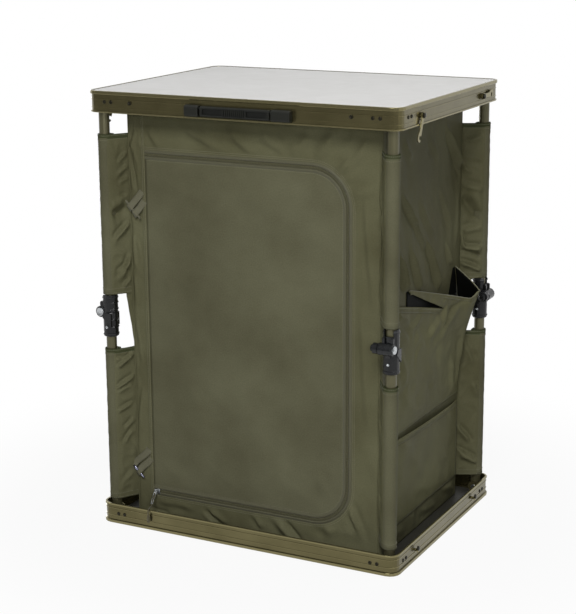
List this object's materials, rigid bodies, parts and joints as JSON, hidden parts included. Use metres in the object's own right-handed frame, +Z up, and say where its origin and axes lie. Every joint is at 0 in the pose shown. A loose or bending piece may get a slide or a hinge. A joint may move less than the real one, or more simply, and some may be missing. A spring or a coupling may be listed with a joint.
{
  "type": "folding camp storage cabinet",
  "caption": "Folding camp storage cabinet: a tray-shaped table top and base joined by four knee-folding legs, with a zipped fabric cabinet, a shelf and side pockets between them.",
  "frame": {"origin": "middle of the base's flat underside, on the floor", "axes": "+Z up, -Y towards the zipped door, +X to the right seen from the front; standing open, door closed"},
  "size_m": [0.61, 0.4745, 0.805],
  "materials": {
    "olive_metal": "satin olive coating on extruded and tubular aluminium",
    "table_top": "smooth pale grey table surface",
    "dark_panel": "dark olive laminated panel",
    "steel": "bright plated steel",
    "black_plastic": "moulded black nylon",
    "olive_fabric": "coated olive polyester cloth with a slight sheen",
    "zip_chain": "grey-olive coil zip and cord"
  },
  "bodies": {
    "base": {"base_rim": "olive_metal", "base_panel": "dark_panel", "base_pin_fl": "steel", "base_pin_fr": "steel", "base_pin_br": "steel", "base_pin_bl": "steel", "cabinet_fabric": "olive_fabric", "door_zip": "zip_chain", "deep_pocket": "olive_fabric", "slip_pocket": "olive_fabric"},
    "lid": {"lid_rim": "olive_metal", "lid_panel": "table_top", "lid_pin_fl": "steel", "lid_pin_fr": "steel", "lid_pin_br": "steel", "lid_pin_bl": "steel", "handle_block_left": "black_plastic", "handle_block_right": "black_plastic"},
    "grip": {"handle_grip": "black_plastic"},
    "latch_fl": {"latch_front_left": "olive_metal"},
    "latch_fr": {"latch_front_right": "olive_metal"},
    "latch_rl": {"latch_rear_left": "olive_metal"},
    "latch_rr": {"latch_rear_right": "olive_metal"},
    "fl_lower": {"fl_lower_tube": "olive_metal", "fl_lower_sleeve": "olive_fabric", "fl_knee_socket": "black_plastic"},
    "fl_upper": {"fl_upper_tube": "olive_metal", "fl_upper_sleeve": "olive_fabric", "fl_knee_yoke": "black_plastic", "fl_knee_pin": "steel"},
    "fl_button": {"fl_knee_button": "black_plastic"},
    "fr_lower": {"fr_lower_tube": "olive_metal", "fr_lower_sleeve": "olive_fabric", "fr_knee_socket": "black_plastic"},
    "fr_upper": {"fr_upper_tube": "olive_metal", "fr_upper_sleeve": "olive_fabric", "fr_knee_yoke": "black_plastic", "fr_knee_pin": "steel"},
    "fr_button": {"fr_knee_button": "black_plastic"},
    "br_lower": {"br_lower_tube": "olive_metal", "br_lower_sleeve": "olive_fabric", "br_knee_socket": "black_plastic"},
    "br_upper": {"br_upper_tube": "olive_metal", "br_upper_sleeve": "olive_fabric", "br_knee_yoke": "black_plastic", "br_knee_pin": "steel"},
    "br_button": {"br_knee_button": "black_plastic"},
    "bl_lower": {"bl_lower_tube": "olive_metal", "bl_lower_sleeve": "olive_fabric", "bl_knee_socket": "black_plastic"},
    "bl_upper": {"bl_upper_tube": "olive_metal", "bl_upper_sleeve": "olive_fabric", "bl_knee_yoke": "black_plastic", "bl_knee_pin": "steel"},
    "bl_button": {"bl_knee_button": "black_plastic"},
    "door": {"door_panel": "olive_fabric"},
    "slider": {"zip_slider": "steel"},
    "pull": {"zip_pull_cord": "zip_chain", "zip_pull_tip": "zip_chain"},
    "shelf": {"shelf": "olive_fabric"}
  },
  "joints": [
    {"name": "fold", "type": "hinge", "parent": "base", "child": "fl_lower", "pos_m": [-0.278, -0.208, 0.019], "axis": [0, 1, 0], "range_deg": [0, 89.15], "deforming": ["cabinet_fabric", "door_panel", "door_zip", "deep_pocket", "slip_pocket", "zip_pull_cord"]},
    {"name": "fl_knee", "type": "hinge", "parent": "fl_lower", "child": "fl_upper", "pos_m": [-0.293, -0.208, 0.4025], "axis": [0, 1, 0], "range_deg": [-178.3, 0]},
    {"name": "lid_hinge", "type": "hinge", "parent": "fl_upper", "child": "lid", "pos_m": [-0.278, -0.208, 0.786], "axis": [0, 1, 0], "range_deg": [0, 89.15]},
    {"name": "fr_fold", "type": "hinge", "parent": "base", "child": "fr_lower", "pos_m": [0.278, -0.208, 0.019], "axis": [-1, 0, 0], "range_deg": [0, 89.15]},
    {"name": "fr_knee", "type": "hinge", "parent": "fr_lower", "child": "fr_upper", "pos_m": [0.278, -0.223, 0.4025], "axis": [-1, 0, 0], "range_deg": [-178.3, 0]},
    {"name": "br_fold", "type": "hinge", "parent": "base", "child": "br_lower", "pos_m": [0.278, 0.208, 0.019], "axis": [0, -1, 0], "range_deg": [0, 89.15]},
    {"name": "br_knee", "type": "hinge", "parent": "br_lower", "child": "br_upper", "pos_m": [0.293, 0.208, 0.4025], "axis": [0, -1, 0], "range_deg": [-178.3, 0]},
    {"name": "bl_fold", "type": "hinge", "parent": "base", "child": "bl_lower", "pos_m": [-0.278, 0.208, 0.019], "axis": [1, 0, 0], "range_deg": [0, 89.15]},
    {"name": "bl_knee", "type": "hinge", "parent": "bl_lower", "child": "bl_upper", "pos_m": [-0.278, 0.223, 0.4025], "axis": [1, 0, 0], "range_deg": [-178.3, 0]},
    {"name": "shelf_slide", "type": "slide", "parent": "base", "child": "shelf", "axis": [0, 0, -1], "range_m": [0, 0.392]},
    {"name": "door_hinge", "type": "hinge", "parent": "base", "child": "door", "pos_m": [-0.212, -0.182, 0.375], "axis": [0, 0, 1], "range_deg": [-110, 0]},
    {"name": "zip_slide", "type": "slide", "parent": "base", "child": "slider", "axis": [1, 0, 0], "range_m": [0, 0.332]},
    {"name": "pull_hinge", "type": "hinge", "parent": "slider", "child": "pull", "pos_m": [-0.204, -0.1885, 0.0592], "axis": [1, 0, 0], "range_deg": [-100, 0]},
    {"name": "grip_hinge", "type": "hinge", "parent": "lid", "child": "grip", "pos_m": [0.0012, -0.236, 0.786], "axis": [1, 0, 0], "range_deg": [-90, 0]},
    {"name": "latch_fl_pivot", "type": "hinge", "parent": "lid", "child": "latch_fl", "pos_m": [-0.3, -0.14, 0.783], "axis": [1, 0, 0], "range_deg": [-30, 23]},
    {"name": "latch_fr_pivot", "type": "hinge", "parent": "lid", "child": "latch_fr", "pos_m": [0.3, -0.14, 0.783], "axis": [1, 0, 0], "range_deg": [-30, 23]},
    {"name": "latch_rl_pivot", "type": "hinge", "parent": "lid", "child": "latch_rl", "pos_m": [-0.3, 0.14, 0.783], "axis": [-1, 0, 0], "range_deg": [-20, 90]},
    {"name": "latch_rr_pivot", "type": "hinge", "parent": "lid", "child": "latch_rr", "pos_m": [0.3, 0.14, 0.783], "axis": [-1, 0, 0], "range_deg": [-20, 90]},
    {"name": "fl_button_push", "type": "slide", "parent": "fl_upper", "child": "fl_button", "axis": [0, -1, 0], "range_m": [0, 0.004], "stiffness_N_per_m": 250},
    {"name": "fr_button_push", "type": "slide", "parent": "fr_upper", "child": "fr_button", "axis": [1, 0, 0], "range_m": [0, 0.004], "stiffness_N_per_m": 250},
    {"name": "br_button_push", "type": "slide", "parent": "br_upper", "child": "br_button", "axis": [0, 1, 0], "range_m": [0, 0.004], "stiffness_N_per_m": 250},
    {"name": "bl_button_push", "type": "slide", "parent": "bl_upper", "child": "bl_button", "axis": [-1, 0, 0], "range_m": [0, 0.004], "stiffness_N_per_m": 250}
  ],
  "couplings": [
    {"joint": "fl_knee", "follows": "fold", "ratio": -2},
    {"joint": "lid_hinge", "follows": "fold", "ratio": 1},
    {"joint": "fr_fold", "follows": "fold", "ratio": 1},
    {"joint": "fr_knee", "follows": "fold", "ratio": -2},
    {"joint": "br_fold", "follows": "fold", "ratio": 1},
    {"joint": "br_knee", "follows": "fold", "ratio": -2},
    {"joint": "bl_fold", "follows": "fold", "ratio": 1},
    {"joint": "bl_knee", "follows": "fold", "ratio": -2},
    {"joint": "shelf_slide", "follows": "fold", "m_per_rad": 0.2519}
  ]
}
